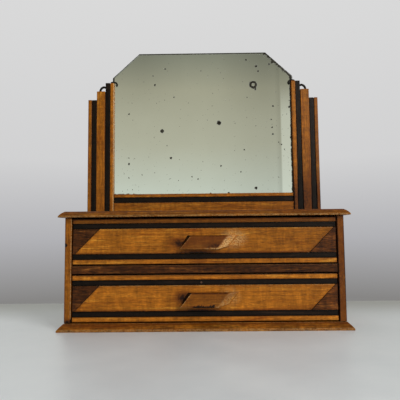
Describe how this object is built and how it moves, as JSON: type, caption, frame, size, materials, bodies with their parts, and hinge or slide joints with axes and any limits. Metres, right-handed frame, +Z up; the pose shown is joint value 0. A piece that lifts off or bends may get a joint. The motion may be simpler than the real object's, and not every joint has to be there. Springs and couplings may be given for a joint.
{
  "type": "jewelry box",
  "caption": "Table-top jewelry box with drawers under a fixed clipped-corner mirror, held between stepped groups of light and black strips.",
  "frame": {"origin": "centre of the base board's underside", "axes": "+Z up, drawers open towards -Y, +X to the right of someone facing the drawers"},
  "size_m": [0.36, 0.1319, 0.3895],
  "materials": {
    "honey_wood": "old gloss shellac",
    "black_wood": "ebonised, satin",
    "walnut": "old gloss shellac",
    "drawer_wood": "bare, matt",
    "plywood": "bare, matt",
    "mirror_glass": "old silvered plate glass",
    "dark_wire": "blackened wire",
    "steel": "dull steel",
    "felt": "felt"
  },
  "bodies": {
    "case": {"base_board": "honey_wood", "top_board": "honey_wood", "left_side_panel": "honey_wood", "right_side_panel": "honey_wood", "back_panel": "plywood", "divider_rail": "walnut", "left_runner": "drawer_wood", "right_runner": "drawer_wood", "left_outer_light_strip": "honey_wood", "left_outer_black_strip": "black_wood", "left_middle_strip": "honey_wood", "left_inner_black_strip": "black_wood", "left_inner_light_strip": "honey_wood", "left_post_screw": "steel", "left_clip": "dark_wire", "left_clip_screw": "steel", "right_outer_light_strip": "honey_wood", "right_outer_black_strip": "black_wood", "right_middle_strip": "honey_wood", "right_inner_black_strip": "black_wood", "right_inner_light_strip": "honey_wood", "right_post_screw": "steel", "right_clip": "dark_wire", "right_clip_screw": "steel", "mirror_broad_rail": "honey_wood", "mirror_black_rail": "black_wood", "mirror_ledge": "honey_wood", "mirror_glass": "mirror_glass", "mirror_backing": "plywood"},
    "upper_drawer": {"upper_drawer_core": "drawer_wood", "upper_drawer_panel": "honey_wood", "upper_drawer_left_corner": "walnut", "upper_drawer_right_corner": "walnut", "upper_drawer_lower_light_band": "honey_wood", "upper_drawer_lower_black_band": "black_wood", "upper_drawer_upper_black_band": "black_wood", "upper_drawer_upper_light_band": "honey_wood", "upper_drawer_pull": "honey_wood", "upper_drawer_pull_screw": "steel", "upper_drawer_left_side": "drawer_wood", "upper_drawer_right_side": "drawer_wood", "upper_drawer_back": "drawer_wood", "upper_drawer_bottom": "plywood", "upper_drawer_lining": "felt"},
    "lower_drawer": {"lower_drawer_core": "drawer_wood", "lower_drawer_panel": "honey_wood", "lower_drawer_left_corner": "walnut", "lower_drawer_right_corner": "walnut", "lower_drawer_lower_light_band": "honey_wood", "lower_drawer_lower_black_band": "black_wood", "lower_drawer_upper_black_band": "black_wood", "lower_drawer_upper_light_band": "honey_wood", "lower_drawer_pull": "honey_wood", "lower_drawer_pull_screw": "steel", "lower_drawer_left_side": "drawer_wood", "lower_drawer_right_side": "drawer_wood", "lower_drawer_back": "drawer_wood", "lower_drawer_bottom": "plywood", "lower_drawer_lining": "felt", "strip_pin": "steel"}
  },
  "joints": [
    {"name": "upper_drawer_slide", "type": "slide", "parent": "case", "child": "upper_drawer", "axis": [0, -1, 0], "range_m": [0, 0.09]},
    {"name": "lower_drawer_slide", "type": "slide", "parent": "case", "child": "lower_drawer", "axis": [0, -1, 0], "range_m": [0, 0.09]}
  ]
}
